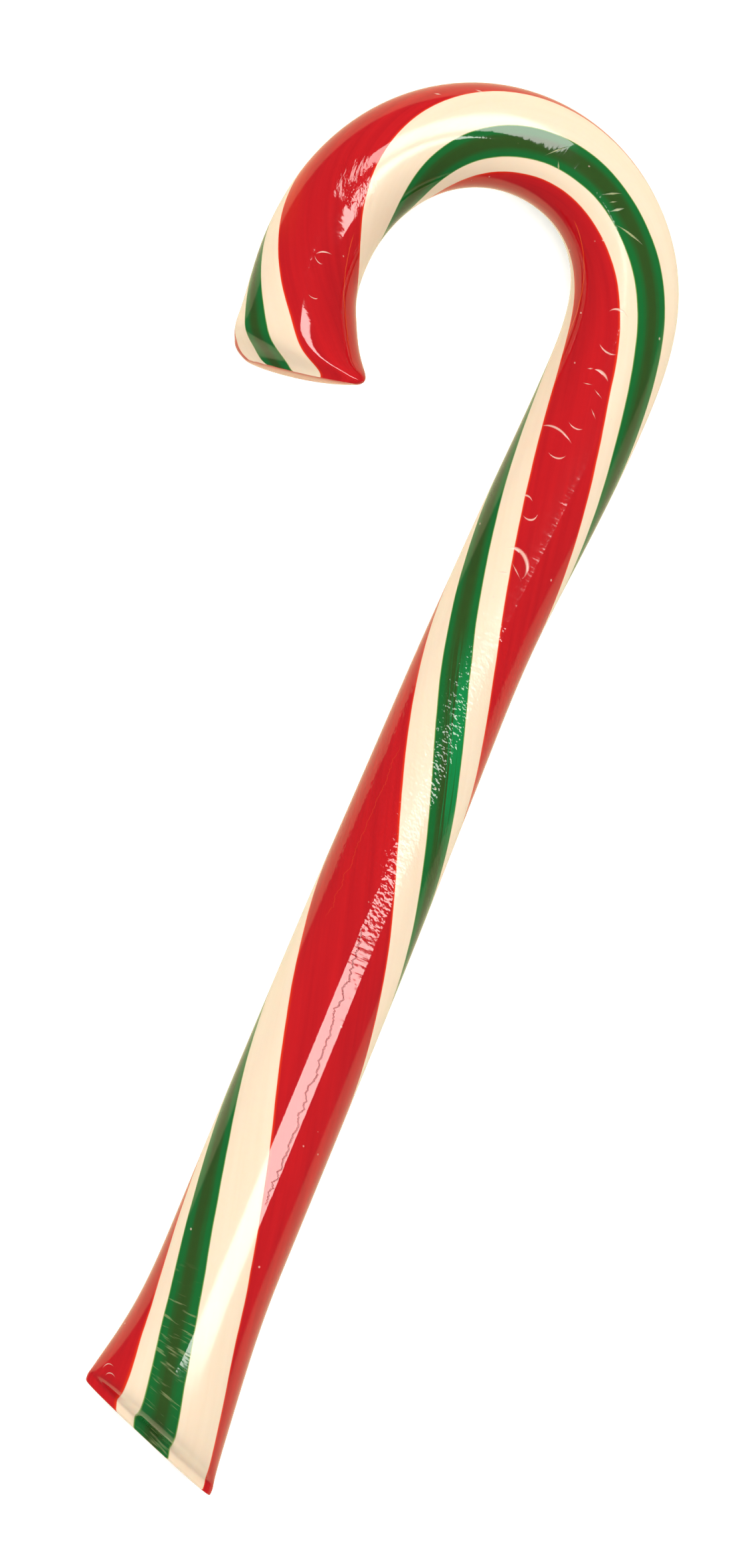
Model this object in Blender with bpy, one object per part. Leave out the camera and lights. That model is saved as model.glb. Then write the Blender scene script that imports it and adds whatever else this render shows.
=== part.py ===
"""A hard candy cane lying on its side: one solid rod of boiled sugar, hooked at the top.

It is made the way the sweet is: a straight rod, a little uneven in thickness, is snipped
hot at both ends, which spreads and flattens them, and is then bent round a former on a
table. Metres, +Z up. The shaft runs along +Y, the hook curls over towards -X, and the
flat strip that the soft rod got from the table lies at Z = 0.
"""

import math

import bmesh
import bpy
from mathutils import Matrix

MM = 0.001
NAME = "cane"

# The straight rod, measured along its middle from the foot.
ROD_LENGTH = 195.4
SIDES = 32
THICKNESS = (
    # distance from the foot, diameter
    (0.0, 13.0),
    (40.0, 12.9),
    (60.0, 12.6),
    (76.0, 12.0),
    (94.0, 11.5),
    (108.0, 12.15),
    (121.0, 12.3),
    (131.0, 11.9),
    (142.0, 10.95),
    (156.0, 11.25),
    (170.0, 11.65),
    (196.0, 11.65),
)

# Where rings go: far apart on the shaft, close in the hook, closer still at the snips.
SHAFT_STEP = 4.0
HOOK_STEP = 1.9
SNIP_RINGS = (1.5, 3.0, 5.0, 7.5, 10.5, 14.0)

# The snips. Each spreads the rod to its left and its right and thins it, all as shares of
# its radius at the cut itself. The tip's left corner, inside the hook, is drawn out most.
FOOT = {"slant": 18.0, "left": 0.31, "right": 0.34, "reach": 18.0, "thin": 0.44}
TIP = {"slant": 10.5, "left": 0.27, "right": 0.08, "reach": 13.0, "thin": 0.40}
SPREAD_POWER = 1.4
THIN_POWER = 2.2
LIP_LENGTH = 1.5
LIP_THICKNESS = 0.62

# The bend: a slight lean out below the hook, then a turn that builds up to its full rate
# and eases off again towards the tip. Degrees, and degrees for each millimetre.
FIRST_LEAN = 0.47
LEAN_OUT = 3.6
LEAN_STARTS = 92.7
LEAN_ENDS = 118.9
LEAN_SPAN = 25.0
HOOK_STARTS = 119.3
HOOK_BUILD_UP = 16.8
HOOK_RATE = 3.54
HOOK_EASES = 158.3
HOOK_EASED_BY = 0.51
PATH_STEP = 1.0
PATH_RUN_OUT = 6.0

CANDY_RED = (0.62, 0.012, 0.018, 1.0)


def smooth(share):
    """0 to 1 without a corner at either end."""
    share = min(max(share, 0.0), 1.0)
    return share * share * (3.0 - 2.0 * share)


def radius_at(along):
    """The rod's radius before its ends are snipped, smooth through the table's points."""
    last = len(THICKNESS) - 1
    right = next((i for i, (at, _) in enumerate(THICKNESS) if at > along), last)
    right = max(right, 1)
    (start, a), (end, b) = THICKNESS[right - 1], THICKNESS[right]
    before = THICKNESS[max(right - 2, 0)]
    after = THICKNESS[min(right + 1, last)]
    span = end - start
    slope_a = span * (b - before[1]) / (end - before[0])
    slope_b = span * (after[1] - a) / (after[0] - start)
    t = min(max((along - start) / span, 0.0), 1.0)
    diameter = (
        a * (2 * t**3 - 3 * t**2 + 1)
        + slope_a * (t**3 - 2 * t**2 + t)
        + b * (3 * t**2 - 2 * t**3)
        + slope_b * (t**3 - t**2)
    )
    return diameter / 2


def ring_places():
    """Distances along the rod at which it gets a ring of vertices."""
    snips = [*SNIP_RINGS, *(ROD_LENGTH - ring for ring in SNIP_RINGS)]
    first, last = SNIP_RINGS[-1], ROD_LENGTH - SNIP_RINGS[-1]
    middle = []
    along = first + SHAFT_STEP
    while along < last - HOOK_STEP / 2:
        middle.append(along)
        along += HOOK_STEP if along > HOOK_STARTS - SHAFT_STEP else SHAFT_STEP
    return sorted(snips + middle)


def snipped(snip, side, from_cut):
    """How wide and how thick the rod is at this distance from a cut, as shares."""
    near = max(1.0 - from_cut / snip["reach"], 0.0)
    width = 1.0 + snip[side] * near**SPREAD_POWER
    thickness = 1.0 - snip["thin"] * near**THIN_POWER
    lip = max(1.0 - from_cut / LIP_LENGTH, 0.0)
    return width, thickness * (1.0 - (1.0 - LIP_THICKNESS) * lip), near


def straight_rod():
    """The snipped rod before it is bent, lying along +X with its underside at Z = 0."""
    bm = bmesh.new()
    lay_down = Matrix.Translation((ROD_LENGTH / 2, 0.0, 0.0)) @ Matrix.Rotation(math.pi / 2, 4, "Y")
    bmesh.ops.create_cone(
        bm, cap_ends=True, segments=SIDES, radius1=1.0, radius2=1.0, depth=ROD_LENGTH, matrix=lay_down
    )
    for place in ring_places():
        every_part = bm.verts[:] + bm.edges[:] + bm.faces[:]
        bmesh.ops.bisect_plane(bm, geom=every_part, plane_co=(place, 0, 0), plane_no=(1, 0, 0))

    # The side next to the lowest one rests on the table, so the strip is one side wide.
    settled = math.cos(2 * math.pi / SIDES)
    for vert in bm.verts:
        along = vert.co.x
        radius = radius_at(along)
        side = "left" if vert.co.y > 0 else "right"
        foot_wide, foot_thick, near_foot = snipped(FOOT, side, along)
        tip_wide, tip_thick, near_tip = snipped(TIP, side, ROD_LENGTH - along)
        left = vert.co.y * radius * foot_wide * tip_wide
        up = vert.co.z * radius * foot_thick * tip_thick + radius * settled
        slant = math.tan(math.radians(FOOT["slant"])) * smooth(near_foot)
        slant += math.tan(math.radians(TIP["slant"])) * smooth(near_tip)
        vert.co = ((along + left * slant) * MM, left * MM, max(up, 0.0) * MM)

    mesh = bpy.data.meshes.new(NAME)
    bm.to_mesh(mesh)
    bm.free()
    return mesh


def turning_at(along):
    """How fast the path turns left, in degrees for each millimetre."""
    turning = HOOK_RATE * smooth((along - HOOK_STARTS) / HOOK_BUILD_UP)
    easing = smooth((along - HOOK_EASES) / (ROD_LENGTH - HOOK_EASES))
    turning *= 1.0 - HOOK_EASED_BY * easing
    for middle, degrees in ((LEAN_STARTS, -LEAN_OUT), (LEAN_ENDS, LEAN_OUT)):
        off = abs(along - middle)
        if off < LEAN_SPAN / 2:
            turning += degrees * (1.0 + math.cos(2 * math.pi * off / LEAN_SPAN)) / LEAN_SPAN
    return turning


def bend_path(guides):
    """The line that the rod is bent along, a guide that isn't part of the sweet."""
    x, y, heading = 0.0, 0.0, math.radians(FIRST_LEAN)
    points = [(x, y)]
    steps = round((ROD_LENGTH + PATH_RUN_OUT) / PATH_STEP)
    for step in range(steps):
        middle = (step + 0.5) * PATH_STEP
        turn = math.radians(turning_at(middle)) * PATH_STEP
        x -= math.sin(heading + turn / 2) * PATH_STEP
        y += math.cos(heading + turn / 2) * PATH_STEP
        heading += turn
        points.append((x, y))

    curve = bpy.data.curves.new("bend_path", "CURVE")
    curve.dimensions = "3D"
    curve.twist_mode = "Z_UP"
    curve.use_deform_bounds = False
    line = curve.splines.new("POLY")
    line.points.add(len(points) - 1)
    for point, (px, py) in zip(line.points, points):
        point.co = (px * MM, py * MM, 0.0, 1.0)
    path = bpy.data.objects.new("bend_path", curve)
    guides.objects.link(path)
    path.hide_render = True
    path.display_type = "WIRE"
    return path


def candy_material():
    """Glossy boiled sugar in the cane's main colour."""
    candy = bpy.data.materials.new("candy")
    candy.use_nodes = True
    shader = candy.node_tree.nodes["Principled BSDF"]
    shader.inputs["Base Color"].default_value = CANDY_RED
    shader.inputs["Roughness"].default_value = 0.12
    shader.inputs["Metallic"].default_value = 0.0
    return candy


def centre_on_ground(obj):
    """Puts the middle of the object's footprint at the origin."""
    bpy.context.view_layer.update()
    evaluated = obj.evaluated_get(bpy.context.evaluated_depsgraph_get())
    places = [vert.co for vert in evaluated.data.vertices]
    middle_x = (min(p.x for p in places) + max(p.x for p in places)) / 2
    middle_y = (min(p.y for p in places) + max(p.y for p in places)) / 2
    obj.location = (-middle_x, -middle_y, 0.0)


def main():
    for old in list(bpy.data.objects):
        bpy.data.objects.remove(old, do_unlink=True)
    parts = bpy.data.collections.new("candy_cane")
    guides = bpy.data.collections.new("candy_cane_guides")
    bpy.context.scene.collection.children.link(parts)
    bpy.context.scene.collection.children.link(guides)

    cane = bpy.data.objects.new(NAME, straight_rod())
    parts.objects.link(cane)
    cane.data.materials.append(candy_material())
    cane.data.shade_smooth()
    cane.data.set_sharp_from_angle(angle=math.radians(40))

    path = bend_path(guides)
    bend = cane.modifiers.new("bend", "CURVE")
    bend.object = path
    bend.deform_axis = "POS_X"
    centre_on_ground(cane)
    path.location = cane.location


main()
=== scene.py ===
import math

import bmesh
import bpy
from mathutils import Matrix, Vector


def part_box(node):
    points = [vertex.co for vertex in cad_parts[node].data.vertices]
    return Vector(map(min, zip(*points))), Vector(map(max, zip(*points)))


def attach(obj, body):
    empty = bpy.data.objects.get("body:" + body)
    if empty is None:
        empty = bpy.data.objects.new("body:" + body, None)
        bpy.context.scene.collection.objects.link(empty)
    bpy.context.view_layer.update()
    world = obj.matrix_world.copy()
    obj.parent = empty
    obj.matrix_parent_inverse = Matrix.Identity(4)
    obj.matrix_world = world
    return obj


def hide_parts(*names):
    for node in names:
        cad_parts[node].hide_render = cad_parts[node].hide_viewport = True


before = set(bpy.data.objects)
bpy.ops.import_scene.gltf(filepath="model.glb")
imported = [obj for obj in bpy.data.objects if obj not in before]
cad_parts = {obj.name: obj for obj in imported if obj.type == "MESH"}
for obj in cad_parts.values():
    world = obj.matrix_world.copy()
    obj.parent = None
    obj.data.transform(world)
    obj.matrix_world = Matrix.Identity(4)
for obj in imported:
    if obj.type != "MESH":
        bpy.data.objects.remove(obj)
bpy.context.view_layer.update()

# --- The sugar rod
# One solid rod of boiled sugar: a cream core rolled together with strips of red and
# green, pulled out thin and twisted as it cools. It is laid out straight here along +X
# with the foot at the origin, its inside-of-the-hook side at +Y and the table below it.

MM = 0.001
ROD_LENGTH = 195.4
ROD_SIDES = 20
ROD_THICKNESS = (
    # distance from the foot, diameter
    (0, 13.0), (40, 12.9), (60, 12.6), (76, 12.0), (94, 11.5), (108, 12.15),
    (121, 12.3), (131, 11.9), (142, 10.95), (156, 11.25), (170, 11.65), (196, 11.65),
)
RESTING_HEIGHT = (
    # distance from the foot, height of the rod's middle over the table
    (0, 6.45), (40, 6.4), (60, 6.3), (76, 6.27), (94, 6.10), (108, 5.62), (121, 5.52),
    (131, 5.63), (142, 5.84), (156, 5.8), (196, 5.75),
)
ROD_TWIST = (
    # distance from the foot, degrees turned by then
    (0, -19), (4, -10), (9, 1), (30, 44), (52, 101), (73, 164), (94.5, 233), (116, 292),
    (137, 332), (151.5, 350.5), (162, 379.5), (173, 432), (181.5, 481), (190, 526), (196, 539),
)

# The rounding draws the rod's corners inwards, so each ring is made this much bigger.
ROUNDING = 3 / (2 + math.cos(2 * math.pi / ROD_SIDES))
ROUNDING_LEVELS = 3


def through(points, at):
    """A smooth line through the points, read at one place."""
    last = len(points) - 1
    right = next((i for i, (place, _) in enumerate(points) if place > at), last)
    right = max(right, 1)
    (start, a), (end, b) = points[right - 1], points[right]
    before, after = points[max(right - 2, 0)], points[min(right + 1, last)]
    span = end - start
    rise_a = span * (b - before[1]) / (end - before[0])
    rise_b = span * (after[1] - a) / (after[0] - start)
    t = min(max((at - start) / span, 0), 1)
    return (
        a * (2 * t**3 - 3 * t**2 + 1) + rise_a * (t**3 - 2 * t**2 + t)
        + b * (3 * t**2 - 2 * t**3) + rise_b * (t**3 - t**2)
    )


def smooth(share):
    """0 to 1 without a corner at either end."""
    share = min(max(share, 0), 1)
    return share * share * (3 - 2 * share)


def pick(mesh, wanted):
    """Selects the vertices of the mesh being edited that are wanted, by where they are
    now and, once the sugar remembers it, where they were in the straight rod."""
    edited = bmesh.from_edit_mesh(mesh)
    remembered = edited.verts.layers.float_vector.get("sugar")
    for vert in edited.verts:
        before = vert[remembered] if remembered else vert.co / MM
        vert.select = wanted(vert.co / MM, before)
    edited.select_mode = {"VERT"}
    edited.select_flush_mode()
    bmesh.update_edit_mesh(mesh, loop_triangles=False, destructive=False)


bpy.ops.object.select_all(action="DESELECT")
bpy.ops.mesh.primitive_cylinder_add(
    vertices=ROD_SIDES, radius=MM, depth=ROD_LENGTH * MM, end_fill_type="NOTHING",
    location=(ROD_LENGTH / 2 * MM, 0, 0), rotation=(0, math.pi / 2, 0),
)
cane = bpy.context.object
cane.name = cane.data.name = "candy_cane"
bpy.ops.object.transform_apply(location=True, rotation=True, scale=True)

# --- The straight rod's rings and ends
# Rings are cut through it less than 4 mm apart, and closer at the ends, where the snips
# will squeeze it. Each end is closed with a face a little crowned, like sugar cut soft.

SNIP_RINGS = (0.25, 0.7, 1.0, 1.3, 1.8, 2.5, 3.5, 5, 7, 9.5, 12.5)
MIDDLE_BANDS = 46
CAP_RINGS = (
    # share of the end's size, how far it stands out
    (0.94, 0.08), (0.8, 0.14), (0.5, 0.17), (0.2, 0.18),
)
CUT_TOLERANCE = 1e-7
END_TOLERANCE = 0.01

band = (ROD_LENGTH - 2 * SNIP_RINGS[-1]) / MIDDLE_BANDS
rings = [*SNIP_RINGS, *(ROD_LENGTH - ring for ring in SNIP_RINGS)]
rings += [SNIP_RINGS[-1] + band * step for step in range(1, MIDDLE_BANDS)]
rings.sort()

bpy.ops.object.mode_set(mode="EDIT")
bpy.ops.mesh.select_mode(type="VERT")
for place in rings:
    bpy.ops.mesh.select_all(action="SELECT")
    bpy.ops.mesh.bisect(
        plane_co=(place * MM, 0, 0), plane_no=(1, 0, 0), threshold=CUT_TOLERANCE
    )

for end, outwards in ((0.0, -1), (ROD_LENGTH, 1)):
    pick(cane.data, lambda now, before: abs(now.x - end) < END_TOLERANCE)
    reached, size = 0.0, 1.0
    for share, crown in CAP_RINGS:
        bpy.ops.mesh.extrude_region_move(
            TRANSFORM_OT_translate={"value": (outwards * (crown - reached) * MM, 0, 0)}
        )
        bpy.ops.transform.resize(
            value=(1, share / size, share / size), center_override=(end * MM, 0, 0)
        )
        reached, size = crown, share
    bpy.ops.mesh.merge(type="CENTER")

# The sugar remembers where it was in the straight rod, which the stripes are read from:
# distance from the foot, then how far to the right and up of the middle, 1 at the skin.
bpy.ops.object.mode_set(mode="OBJECT")
remembered = cane.data.attributes.new("sugar", "FLOAT_VECTOR", "POINT")
for vert, place in zip(cane.data.vertices, remembered.data):
    place.vector = (vert.co.x / MM, -vert.co.y / MM, vert.co.z / MM)

# --- Twisting and snipping
# The hot rod is twisted to the left, unevenly, and snipped at both ends. That spreads and
# thins them and rolls them over, so that their left side stands higher. The foot ends in
# a flat lip, and the tip in a beak on its left.

FOOT_THICKNESS = (
    (0, 0.35), (0.7, 0.36), (1.0, 0.37), (1.3, 0.45), (1.8, 0.65), (2.5, 0.81),
    (3.5, 0.91), (5, 0.965), (7, 0.985), (12.5, 1), (18, 1),
)
# "slant", "lean" and "roll" are in degrees. The tables go by the distance from the cut:
# "left" and "right" say how much the rod spreads, "thickness" how thick it is and "top" how
# high its upper side stands, all as shares of its own radius there.
FOOT = {
    "slant": 21.5, "lean": 0, "reach": 18,
    "roll": ((0, 14), (1.8, 14), (5, 11), (9.5, 6), (18, 0)),
    "left": (
        (0, 0.36), (0.7, 0.37), (1.8, 0.33), (3.5, 0.27), (7, 0.17), (12.5, 0.06), (18, 0),
    ),
    "right": (
        (0, 0.34), (0.7, 0.35), (1.8, 0.305), (3.5, 0.25), (7, 0.17), (12.5, 0.065), (18, 0),
    ),
    "thickness": FOOT_THICKNESS,
    "top": FOOT_THICKNESS,
}
TIP = {
    "slant": 20.0, "lean": 5, "reach": 9.5,
    "roll": ((0, 27), (1.3, 21), (2.5, 9), (3.5, 3), (5, 0), (7, 0), (9.5, 0)),
    "left": (
        (0, 0.10), (0.25, 0.24), (0.7, 0.33), (1.3, 0.35), (1.8, 0.32), (2.5, 0.26),
        (3.5, 0.20), (5, 0.145), (7, 0.09), (9.5, 0),
    ),
    "right": (
        (0, 0.02), (0.25, 0.18), (0.7, 0.22), (1.3, 0.20), (1.8, 0.18), (2.5, 0.15),
        (3.5, 0.13), (5, 0.08), (7, 0.035), (9.5, 0),
    ),
    "thickness": (
        (0, 0.36), (0.7, 0.42), (1.3, 0.50), (1.8, 0.57), (2.5, 0.68), (3.5, 0.82),
        (5, 0.94), (7, 0.99), (9.5, 1),
    ),
    "top": (
        (0, 0.71), (0.7, 0.76), (1.3, 0.80), (1.8, 0.835), (2.5, 0.875), (3.5, 0.915),
        (5, 0.95), (7, 0.985), (9.5, 1),
    ),
}
RING_REACH = 0.05

bpy.ops.object.mode_set(mode="EDIT")
for place in [0.0, *rings, ROD_LENGTH]:
    # The crowned faces go with the rod's first and last ring.
    low = place - RING_REACH if place > 0 else -1
    high = place + RING_REACH if place < ROD_LENGTH else ROD_LENGTH + 1
    middle = (place * MM, 0, 0)
    radius = through(ROD_THICKNESS, place) / 2
    snip, from_cut = (FOOT, place) if place < ROD_LENGTH / 2 else (TIP, ROD_LENGTH - place)
    snipped = from_cut < snip["reach"]
    near = smooth(1 - from_cut / snip["reach"])
    roll = math.radians(through(snip["roll"], from_cut)) if snipped else 0
    pick(cane.data, lambda now, before: low < before.x < high)
    bpy.ops.transform.rotate(
        value=math.radians(through(ROD_TWIST, place)) + roll, orient_axis="X",
        center_override=middle,
    )
    bpy.ops.transform.resize(
        value=(1, radius * ROUNDING, radius * ROUNDING), center_override=middle
    )
    height = through(RESTING_HEIGHT, place)
    if snipped:
        slant = math.atan(math.tan(math.radians(snip["slant"])) * near)
        for side, sign in (("left", 1), ("right", -1)):
            pick(cane.data, lambda now, before: low < before.x < high and now.y * sign > 0)
            width = (1 + through(snip[side], from_cut)) / math.cos(slant)
            bpy.ops.transform.resize(value=(1, width, 1), center_override=middle)
        pick(cane.data, lambda now, before: low < before.x < high)
        thickness = through(snip["thickness"], from_cut)
        bpy.ops.transform.resize(value=(1, 1, thickness), center_override=middle)
        bpy.ops.transform.rotate(value=-roll, orient_axis="X", center_override=middle)
        if from_cut == 0:
            bpy.ops.transform.rotate(
                value=math.radians(snip["lean"]), orient_axis="Y", center_override=middle
            )
        bpy.ops.transform.rotate(value=slant, orient_axis="Z", center_override=middle)

        # The rolled ring is raised or lowered until its upper side stands where it should.
        left_side = 1 + through(snip["left"], from_cut)
        tall = math.hypot(left_side * math.sin(roll), thickness * math.cos(roll))
        level = math.hypot(math.sin(roll), thickness * math.cos(roll)) if snip is FOOT else tall
        height += radius * (through(snip["top"], from_cut) - level)
    bpy.ops.transform.translate(value=(0, 0, height * MM))
bpy.ops.object.mode_set(mode="OBJECT")

smoother = cane.modifiers.new("rounded", "SUBSURF")
smoother.levels = smoother.render_levels = ROUNDING_LEVELS
bpy.ops.object.modifier_apply(modifier=smoother.name)

# The strip that rested on the table is flat. The thin part of the shaft spans it clear.
bpy.ops.object.mode_set(mode="EDIT")
pick(cane.data, lambda now, before: now.z < 0)
bpy.ops.transform.resize(value=(1, 1, 0), center_override=(0, 0, 0))
bpy.ops.object.mode_set(mode="OBJECT")

# --- Bending
# The soft rod is bent round a former: it leans out a little below the hook, then turns
# left at a rate that builds up and eases off again towards the tip.

FIRST_LEAN = 0.47
LEAN_OUT = 3.6
LEAN_STARTS = 92.7
LEAN_ENDS = 118.9
LEAN_SPAN = 25.0
HOOK_STARTS = 119.3
HOOK_BUILD_UP = 16.8
HOOK_RATE = 3.54
HOOK_EASES = 158.3
HOOK_EASED_BY = 0.51
FORMER_RUN_OUT = 6


def turning_at(along):
    """How fast the rod turns left, in degrees for each millimetre."""
    turning = HOOK_RATE * smooth((along - HOOK_STARTS) / HOOK_BUILD_UP)
    easing = smooth((along - HOOK_EASES) / (ROD_LENGTH - HOOK_EASES))
    turning *= 1 - HOOK_EASED_BY * easing
    for middle, degrees in ((LEAN_STARTS, -LEAN_OUT), (LEAN_ENDS, LEAN_OUT)):
        off = abs(along - middle)
        if off < LEAN_SPAN / 2:
            turning += degrees * (1 + math.cos(2 * math.pi * off / LEAN_SPAN)) / LEAN_SPAN
    return turning


x, y, heading = 0.0, 0.0, math.radians(FIRST_LEAN)
bends = [(x, y)]
for step in range(round(ROD_LENGTH + FORMER_RUN_OUT)):
    turn = math.radians(turning_at(step + 0.5))
    x -= math.sin(heading + turn / 2)
    y += math.cos(heading + turn / 2)
    heading += turn
    bends.append((x, y))
former = bpy.data.curves.new("former", "CURVE")
former.dimensions = "3D"
former.twist_mode = "Z_UP"
former.use_deform_bounds = False
line = former.splines.new("POLY")
line.points.add(len(bends) - 1)
for point, (x, y) in zip(line.points, bends):
    point.co = (x * MM, y * MM, 0, 1)
former_object = bpy.data.objects.new("former", former)
bpy.context.scene.collection.objects.link(former_object)

bend = cane.modifiers.new("bent", "CURVE")
bend.object = former_object
bend.deform_axis = "POS_X"
bpy.ops.object.modifier_apply(modifier=bend.name)
bpy.data.objects.remove(former_object)
bpy.data.curves.remove(former)

# The crown and the right side lie where they do in the frame.
_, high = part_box("cane")
right_side = max(vert.co.x for vert in cane.data.vertices)
crown_top = max(vert.co.y for vert in cane.data.vertices)
bpy.ops.object.mode_set(mode="EDIT")
bpy.ops.mesh.select_all(action="SELECT")
bpy.ops.mesh.normals_make_consistent(inside=False)
bpy.ops.transform.translate(value=(high.x - right_side, high.y - crown_top, 0))
bpy.ops.object.mode_set(mode="OBJECT")
cane.data.shade_smooth()

# --- The sugar's colours
# Clear red and green sugar over a cream core. The colour is thin at a stripe's edges,
# where the cream glows through it, and deep in its middle. Over the thin part of the shaft
# the green carries a painted glow of the strip light shining through it.

CREAM = (0.84, 0.69, 0.53, 1)
CREAM_SHADE = (0.80, 0.64, 0.47, 1)
RED = (0.54, 0.008, 0.012, 1)
RED_DEEP = (0.43, 0.005, 0.010, 1)
RED_THIN = (0.68, 0.028, 0.005, 1)
GREEN = (0.006, 0.13, 0.025, 1)
GREEN_DEEP = (0.024, 0.070, 0.010, 1)
GREEN_LAMP_GLOW = (0.003, 0.22, 0.055, 1)
GREEN_THIN = (0.16, 0.30, 0.05, 1)
SMEARED_RED = (0.60, 0.03, 0.012, 1)
SMEARED_PINK = (0.58, 0.14, 0.09, 1)

SKIN_RADIUS = 6.1
MM_A_DEGREE = SKIN_RADIUS * math.pi / 180
STRIPE_WOBBLE = 5.0
STRIPES_SPREAD = (85, 165)
SOFT_EDGE = (-0.05, 0.06)
THIN_RED_EDGE = (0.34, 0.05)
THIN_GREEN_EDGE = (0.16, 0.02)
DRAWN_OUT = (150, 166, 176, 184)
LAMP_GLOW_STRETCH = (68, 76, 86, 94)
STRIPES = {
    # degrees round the rod where each begins and ends: on the shaft, and in the hook,
    # where they have spread a little
    "first_red": ((248.0, 320.9), (262.0, 316.3)),
    "first_green": ((-22.4, 10.5), (-24.7, 11.5)),
    "second_red": ((54.4, 155.7), (59.9, 170.8)),
    "second_green": ((186.4, 220.4), (199.1, 231.0)),
}


class Value:
    """A shader value that is added to and multiplied like a number."""

    def __init__(self, tree, socket=None):
        self.tree, self.socket = tree, socket

    def node(self, kind, settings, sockets, output=0):
        """Adds one node: its settings first, then the values or links of its sockets."""
        made = self.tree.nodes.new("ShaderNode" + kind)
        for name, value in settings.items():
            setattr(made, name, value)
        for name, value in sockets.items():
            if isinstance(value, Value):
                self.tree.links.new(value.socket, made.inputs[name])
            else:
                made.inputs[name].default_value = value
        return Value(self.tree, made.outputs[output])

    def math(self, operation, *values):
        """One Math node, with this value first."""
        return self.node("Math", {"operation": operation}, dict(enumerate((self, *values))))

    def __add__(self, other):
        return self.math("ADD", other)

    __radd__ = __add__

    def __mul__(self, other):
        return self.math("MULTIPLY", other)

    __rmul__ = __mul__

    def __sub__(self, other):
        return self.math("SUBTRACT", other)

    def __rsub__(self, other):
        return self.node("Math", {"operation": "SUBTRACT"}, {0: other, 1: self})

    def __truediv__(self, other):
        return self.math("DIVIDE", other)

    def __abs__(self):
        return self.math("ABSOLUTE")

    def most(self, other):
        return self.math("MAXIMUM", other)

    def root(self):
        return self.math("SQRT")

    def within_half_turn(self):
        """The same angle in degrees, brought between -180 and 180."""
        return self.math("WRAP", 180, -180)

    def fade(self, start, end):
        """0 at start and 1 at end, eased between them."""
        return self.node(
            "MapRange", {"interpolation_type": "SMOOTHSTEP"},
            {"Value": self, "From Min": start, "From Max": end},
        )

    def parts(self):
        """The three numbers of a vector."""
        split = self.node("SeparateXYZ", {}, {0: self})
        return [Value(self.tree, socket) for socket in split.socket.node.outputs]

    def vector(self, x, y, z):
        return self.node("CombineXYZ", {}, {0: x, 1: y, 2: z})

    def noise(self, place, detail, roughness=0.5, scale=1.0):
        """Cloudy noise, about 0 in the middle and half either way."""
        return self.node(
            "TexNoise", {"noise_dimensions": "3D"},
            {"Vector": place, "Scale": scale, "Detail": detail, "Roughness": roughness},
        ) - 0.5

    def mix(self, base, top):
        """Top colour over base colour, by this share."""
        return self.node(
            "Mix", {"data_type": "RGBA"}, {"Factor": self, 6: base, 7: top}, output=2
        )


sugar = bpy.data.materials.new("candy")
sugar.use_nodes = True
shader = sugar.node_tree.nodes["Principled BSDF"]
recipe = Value(sugar.node_tree)

remembered_place = recipe.node(
    "Attribute", {"attribute_type": "GEOMETRY", "attribute_name": "sugar"}, {}, output=1
)
along, right, up = remembered_place.parts()
turned = right.math("ARCTAN2", up) * (180 / math.pi)
depth = (right * right + up * up).root()


def grain(lengthwise, crosswise):
    """The straight rod's own places for noise. A bigger number makes it finer that way."""
    return recipe.vector(along * lengthwise, right * crosswise, up * crosswise)


def stretch(starts, full, fades, ends):
    """A stretch of the rod, eased in and out, by distances from the foot."""
    return along.fade(starts, full) * along.fade(ends, fades)


wobble = recipe.noise(grain(0.08, 1.5), detail=3.0) * STRIPE_WOBBLE
streaks = recipe.noise(grain(0.05, 6.0), detail=4.0, roughness=0.6)
fine_streaks = recipe.noise(grain(0.1, 30.0), detail=2.0)
in_hook = along.fade(*STRIPES_SPREAD)


def inside(stripe):
    """How far inside a stripe's edges a place is, in mm, and where across it from -1 to 1."""
    (shaft_a, shaft_b), (hook_a, hook_b) = STRIPES[stripe]
    centre, hook_centre = (shaft_a + shaft_b) / 2, (hook_a + hook_b) / 2
    half, hook_half = (shaft_b - shaft_a) / 2, (hook_b - hook_a) / 2
    off = turned + wobble - centre - in_hook * (hook_centre - centre)
    off = off.within_half_turn()
    reach = half + in_hook * (hook_half - half)
    return (reach - abs(off)) * MM_A_DEGREE, off / reach


colour = (streaks * 1.6 + 0.35).mix(CREAM, CREAM_SHADE)
red = green = depth * 0.0
for stripe in ("first_red", "second_red"):
    deep, across = inside(stripe)
    covered = deep.fade(*SOFT_EDGE)
    body = (streaks * 2.2 + 0.5).mix(RED, RED_DEEP)
    thin = (deep + streaks * 0.3).fade(*THIN_RED_EDGE)
    # Round the outside of the hook the red was drawn out thinner.
    drawn_out = (across + streaks).fade(0.3, 1.1) * stretch(*DRAWN_OUT)
    body = (thin + drawn_out * 0.7).mix(body, RED_THIN)
    colour = covered.mix(colour, body)
    red = red.most(covered)
for stripe in ("first_green", "second_green"):
    deep, across = inside(stripe)
    covered = deep.fade(*SOFT_EDGE)
    body = (deep + streaks * 1.2 + fine_streaks * 0.5).fade(0.5, 1.5).mix(GREEN, GREEN_DEEP)
    # Painted light: over the thin part of the shaft the green is painted brighter on its right,
    # as the glow of the strip light shining through it.
    lamp_glow = (across + fine_streaks * 4).fade(-0.3, 0.6) * stretch(*LAMP_GLOW_STRETCH)
    body = lamp_glow.mix(body, GREEN_LAMP_GLOW)
    body = deep.fade(*THIN_GREEN_EDGE).mix(body, GREEN_THIN)
    colour = covered.mix(colour, body)
    green = green.most(covered)

# The tip's cut face is smeared: pink where cream and red were drawn over it, redder
# towards the beak.
cut_face = along.fade(ROD_LENGTH - 0.1, ROD_LENGTH + 0.05) * depth.fade(0.995, 0.97)
smeared = (right + streaks * 0.8).fade(-0.3, 0.6).mix(SMEARED_PINK, SMEARED_RED)
colour = cut_face.mix(colour, smeared)
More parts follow.
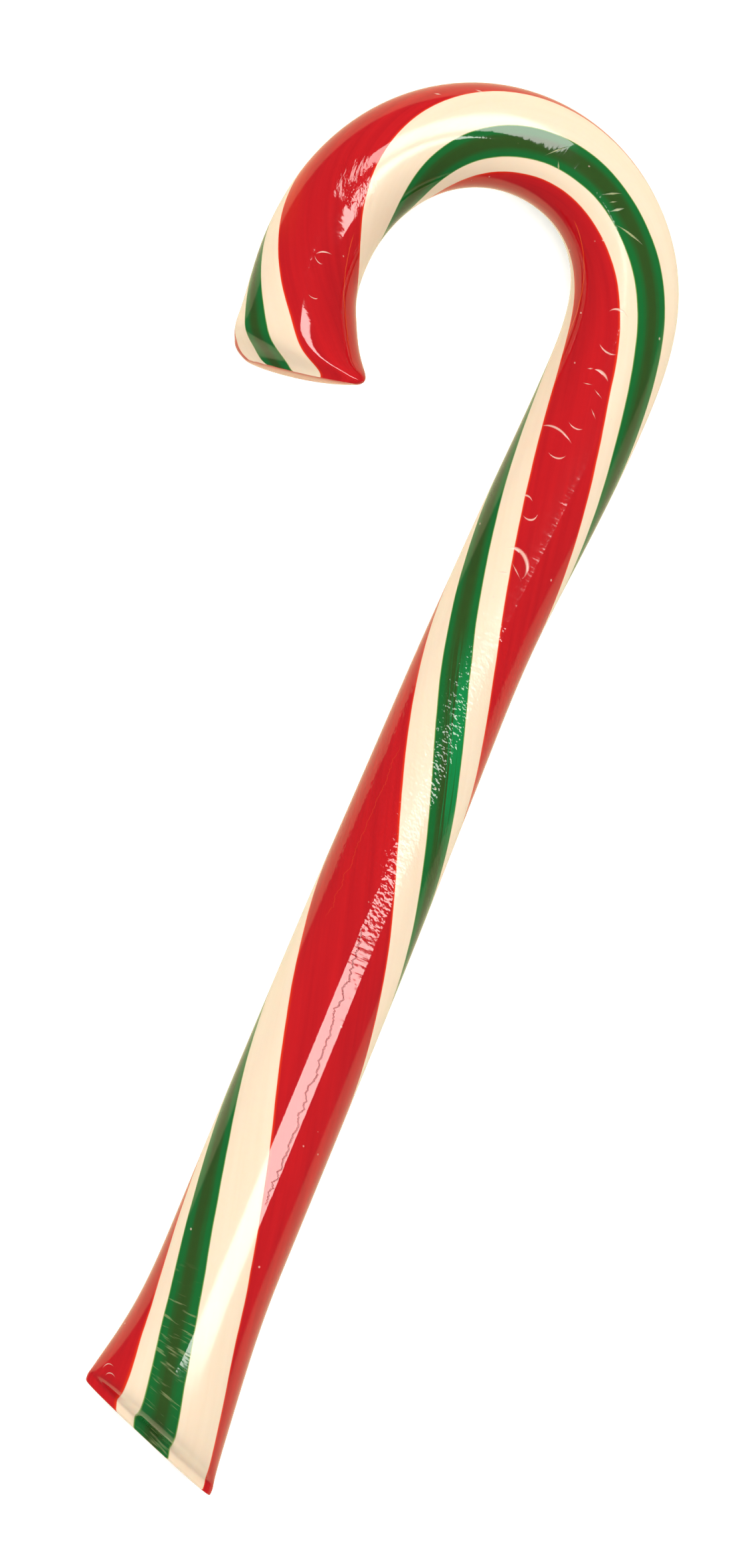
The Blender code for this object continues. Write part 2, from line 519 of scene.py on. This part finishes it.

# --- Marks in the skin
# The skin picked up marks while it was warm: crescents from fingernails, scratches from
# the sweets beside it, cracks, tiny bubbles, and a stretch that set rough like orange peel.
# The crescents and scratches in the red and cream are painted pale, partly as scuffed
# sugar and partly as painted glints of the lamps in them. The long crack is painted dark
# as painted shade in its crease.

CHAFED_AND_GLINT = (0.86, 0.60, 0.50, 1)
CHAFED_GREEN = (0.42, 0.45, 0.22, 1)
SEAM_ORANGE = (0.72, 0.09, 0.02, 1)
CRACK_PAINTED_SHADE = (0.16, 0.004, 0.006, 1)

CRESCENTS = (
    # distance from the foot, degrees round, radius, way it faces, degrees it spreads, width
    (129.8, 315, 1.3, 10, 60, 0.16),
    (127.8, 311, 1.6, -164, 42, 0.12),
    (122.6, 301, 1.5, 24, 40, 0.22),
    (118.7, 290, 1.3, -178, 42, 0.10),
    (113.2, 268, 3.4, 6, 38, 0.17),
    (115.1, 274, 1.45, 167, 48, 0.11),
    (107.9, 254, 0.8, -2, 58, 0.13),
    (107.5, 258, 1.05, 155, 62, 0.12),
    (101.5, 252, 1.6, 42, 92, 0.30),
    (184.4, 106, 2.6, 164, 26, 0.10),
    (182.7, 119, 0.6, 34, 62, 0.08),
    (186.3, 138, 0.8, 8, 46, 0.07),
    (2.6, 301, 1.25, -41, 50, 0.08),
    (2.3, 305, 0.75, -33, 66, 0.08),
)
SCRATCHES = (
    # distance from the foot and degrees round where it begins, the same where it ends, width
    (123.8, 289, 124.1, 297, 0.09),
    (122.2, 287, 122.4, 299, 0.07),
    (122.1, 300, 121.4, 311, 0.09),
    (120.1, 301, 119.1, 309, 0.09),
    (101.7, 248, 100.2, 263, 0.11),
    (99.9, 233, 100.4, 249, 0.16),
    (162.9, 80, 162.2, 70, 0.12),
    (159.5, 67, 158.6, 58, 0.12),
)
SCRATCHES_IN_GREEN = (
    (151.4, 342, 149.6, 365, 0.11),
    (149.8, 345, 148.9, 332, 0.12),
    (143.9, 343, 142.8, 365, 0.14),
    (142.8, 344, 142.4, 354, 0.09),
    (141.9, 339, 141.5, 357, 0.17),
    (140.7, 335, 137.9, 356, 0.10),
    (140.2, 338, 137.4, 358, 0.15),
)
# Threads begin and end like scratches, with their width and how many degrees they wander.
SEAMS = (
    (120.0, 239, 143.5, 300, 0.10, 4),
    (178.0, 70, 192.0, 116, 0.08, 4),
)
HAIRLINE = (58.5, 84, 79.5, 149, 0.06, 18)
CRACK = (28.0, 58, 60.0, 128, 0.09, 26)
FULL_WIDTH = 0.3
THREAD_END = 1.5
COMBED = (20, 15)
BUBBLES_A_MM = 0.33
BUBBLE_SIZE = (0.055, 0.025)


def off_from(at, degrees):
    """How far ahead of a spot and how far round to its right a place is, in mm."""
    return along - at, (turned - degrees).within_half_turn() * MM_A_DEGREE


def drawn(off_line, width):
    """A line this wide: full over the middle of its width and faded out at its sides."""
    return off_line.fade(width, width * FULL_WIDTH)


def crescent(at, degrees, radius, facing, spread, width):
    """A mark on a circle round a spot, tapering off at this many degrees from the way it
    faces, where 0 is towards the tip and 90 to the right."""
    ahead, aside = off_from(at, degrees)
    reach = (ahead * ahead + aside * aside).root()
    faced = ahead * math.cos(math.radians(facing)) + aside * math.sin(math.radians(facing))
    taper = width / (1 - math.cos(math.radians(spread)))
    return drawn(abs(reach - radius) + (1 - faced / reach) * taper, width)


def scratch(at, degrees, end_at, end_degrees, width):
    """A straight mark from one spot to another, tapering off to both."""
    ahead, aside = off_from((at + end_at) / 2, (degrees + end_degrees) / 2)
    run, sideways = end_at - at, (end_degrees - degrees) * MM_A_DEGREE
    length = math.hypot(run, sideways)
    lengthwise = ahead * (run / length) + aside * (sideways / length)
    off_line = ahead * (sideways / length) - aside * (run / length)
    return drawn(abs(off_line) + abs(lengthwise) * (2 * width / length), width)


wander = recipe.noise(recipe.vector(along * 0.45, 0, 0), detail=4.0, roughness=0.7)


def thread(at, degrees, end_at, end_degrees, width, wandering):
    """A long fine line that winds round the rod, wandering by so many degrees."""
    pitch = (end_degrees - degrees) / (end_at - at)
    off = turned + wander * wandering - degrees - (along - at) * pitch
    line = drawn(abs(off.within_half_turn()) * MM_A_DEGREE, width)
    return line * stretch(at, at + THREAD_END, end_at - THREAD_END, end_at)


def all_of(marks):
    total = marks[0]
    for mark in marks[1:]:
        total = total.most(mark)
    return total


nicks_and_glints = all_of([crescent(*mark) for mark in CRESCENTS] + [scratch(*mark) for mark in SCRATCHES])
green_scratches = all_of([scratch(*mark) for mark in SCRATCHES_IN_GREEN])
seams = all_of([thread(*seam) for seam in SEAMS])
hairline = thread(*HAIRLINE)
crack = thread(*CRACK)
skin = recipe.vector(along, right * SKIN_RADIUS, up * SKIN_RADIUS)
cells = recipe.node("TexVoronoi", {}, {"Vector": skin, "Scale": BUBBLES_A_MM})
bubbles = cells.fade(*BUBBLE_SIZE)

# Fine combing across the green by the foot.
combing = recipe.noise(grain(2.6, 2.5), detail=2.0).fade(0.06, 0.2) * along.fade(*COMBED)

colour = (bubbles * 0.55).mix(colour, CHAFED_AND_GLINT)
colour = (seams * red * 0.75 + hairline * 0.25).mix(colour, SEAM_ORANGE)
# The crack is painted dark along its line: painted shade in its crease.
colour = (crack * 0.7).mix(colour, CRACK_PAINTED_SHADE)
colour = (green_scratches * 0.8).mix(colour, CHAFED_GREEN)
colour = (combing * green * 0.35).mix(colour, CHAFED_GREEN)
# The crescents and scratches are painted pale pink: partly scuffed sugar, partly painted glints
# of the lamps caught in them.
colour = (nicks_and_glints * 0.7).mix(colour, CHAFED_AND_GLINT)

# --- Relief and gloss
# The rod cooled with a faintly uneven skin. It set like orange peel where the shaft is
# thinnest, and wrinkled on one spot in the hook. The red and green are glossier than the
# cream, which is full of fine air.

# How deep each kind of relief is, in mm.
RIPPLED = 0.006
UNEVEN = 0.004
PEELED = 0.038
CREASED = 0.10
MARKED = 0.03
ORANGE_PEEL = (56, 68, 90, 98)
PEEL_GRAIN = 1.9
CREASED_SPOT = (173.6, 76)
CREASED_REACH = (3.8, 1.5)
CREAM_ROUGHNESS = 0.18
CLEAR_ROUGHNESS = 0.05
SUGAR_IOR = 1.54
GLOW_SHARE = 0.35
GLOW_DEPTH = 1.2 * MM
GLOW_REACH = (1.0, 0.45, 0.3)

ripples = recipe.noise(grain(1.5, 1.2), detail=2.0) * RIPPLED
uneven = recipe.noise(grain(1.3, 8), detail=1.0) * UNEVEN
peel = recipe.noise(skin, detail=1.5, scale=PEEL_GRAIN) * PEELED * stretch(*ORANGE_PEEL)
ahead, aside = off_from(*CREASED_SPOT)
off_spot = (ahead * ahead + aside * aside * 0.7).root()
creases = recipe.noise(grain(0.7, 10), detail=3.0) * CREASED * off_spot.fade(*CREASED_REACH)
relief = ripples + uneven + peel + creases - (nicks_and_glints + green_scratches + crack) * MARKED
bumped = recipe.node("Bump", {}, {"Height": relief, "Distance": MM, "Strength": 1.0})
roughness = red.most(green) * (CLEAR_ROUGHNESS - CREAM_ROUGHNESS) + CREAM_ROUGHNESS

sugar.node_tree.links.new(colour.socket, shader.inputs["Base Color"])
sugar.node_tree.links.new(roughness.socket, shader.inputs["Roughness"])
sugar.node_tree.links.new(bumped.socket, shader.inputs["Normal"])
shader.inputs["IOR"].default_value = SUGAR_IOR
shader.inputs["Subsurface Weight"].default_value = GLOW_SHARE
shader.inputs["Subsurface Radius"].default_value = GLOW_REACH
shader.inputs["Subsurface Scale"].default_value = GLOW_DEPTH
cane.data.materials.append(sugar)

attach(cane, "root")
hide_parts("cane")

# --- The table
# A plain sheet of white card, lying flat under the sweet and wide enough to fill every
# view. It glows a little, so that it stays clean white.

TABLE_SIZE = 6
CARD_WHITE = (0.88, 0.88, 0.87, 1)
CARD_GLOW = (1, 1, 1, 1)
CARD_GLOW_STRENGTH = 0.5
CARD_ROUGHNESS = 0.9
CARD_SHINE = 0.1

bpy.ops.object.select_all(action="DESELECT")
bpy.ops.mesh.primitive_plane_add(size=TABLE_SIZE, location=(0, 0, 0))
table = bpy.context.object
table.name = table.data.name = "table"
card = bpy.data.materials.new("white_card")
card.use_nodes = True
card_shader = card.node_tree.nodes["Principled BSDF"]
card_shader.inputs["Base Color"].default_value = CARD_WHITE
card_shader.inputs["Roughness"].default_value = CARD_ROUGHNESS
card_shader.inputs["Specular IOR Level"].default_value = CARD_SHINE
card_shader.inputs["Emission Color"].default_value = CARD_GLOW
card_shader.inputs["Emission Strength"].default_value = CARD_GLOW_STRENGTH
table.data.materials.append(card)
table.visible_glossy = False

# --- The lamps
# Two soft boxes hang two metres up: a long one to the right, which makes the streak on the
# shaft, and a big one beyond the crown. The window and the ceiling only brighten the sweet,
# and the pale room low down glows in its edges.

LAMP_COLOUR = (1, 0.98, 0.93)
ROOM_DIM = (0.16, 0.16, 0.16, 1)
ROOM_GLOW = (1.05, 0.92, 0.58, 1)
GLOW_STARTS = (-0.12, -0.28)
GLOW_WEAKENS = 0.35


def soft_box(name, middle, turned_by, size, radiance, mirrored=True):
    """A lamp of this width and length in metres, and turned by these degrees."""
    lamp = bpy.data.lights.new(name, "AREA")
    lamp.shape = "RECTANGLE"
    lamp.size, lamp.size_y = size
    lamp.energy = radiance * math.pi * size[0] * size[1]
    lamp.color = LAMP_COLOUR
    hung = bpy.data.objects.new(name, lamp)
    hung.location = middle
    hung.rotation_euler = [math.radians(angle) for angle in turned_by]
    hung.visible_camera = False
    hung.visible_glossy = mirrored
    bpy.context.scene.collection.objects.link(hung)


soft_box("strip_light", (0.98, -0.115, 2.0), (0, 0, 0), (1.64, 0.29), 11.5)
soft_box("soft_box_beyond_crown", (-0.21, 1.35, 2.0), (0, 0, -14), (0.93, 2.1), 8.0)
soft_box("window", (-2.2, -0.6, 1.6), (0, -52, 10), (1.6, 1.6), 2.0, mirrored=False)
soft_box("ceiling_light", (0.8, -0.6, 2.2), (0, 0, 0), (2.0, 2.0), 1.3, mirrored=False)

room = bpy.data.worlds.new("room")
room.use_nodes = True
air = Value(room.node_tree)
east, north, height = air.node("TexCoord", {}, {}).parts()
# The glow starts a little below the horizon, higher to the north, and is weaker to the east.
low_down = (height - north * 0.14 - east * 0.04).fade(*GLOW_STARTS)
light = (low_down * (1 - east * GLOW_WEAKENS)).mix(ROOM_DIM, ROOM_GLOW)
room.node_tree.links.new(light.socket, room.node_tree.nodes["Background"].inputs["Color"])
bpy.context.scene.world = room
bpy.context.scene.view_settings.view_transform = "Standard"

# --- The camera
# It looks straight down from just under a metre, turned so that the shaft leans, and takes
# in a little more than the sweet's length from top to bottom.

CAMERA_HEIGHT = 0.95
FRAMED_HEIGHT = 0.006
VIEW_MIDDLE = (0.00947, 0.00052)
VIEW_HEIGHT = 0.1682
VIEW_TURN = 22.93
SENSOR_MM = 36

optics = bpy.data.cameras.new("camera")
optics.sensor_width = SENSOR_MM
optics.lens = SENSOR_MM * CAMERA_HEIGHT / VIEW_HEIGHT
camera = bpy.data.objects.new("camera", optics)
camera.location = (*VIEW_MIDDLE, CAMERA_HEIGHT + FRAMED_HEIGHT)
camera.rotation_euler = (0, 0, math.radians(VIEW_TURN))
bpy.context.scene.collection.objects.link(camera)
bpy.context.scene.camera = camera
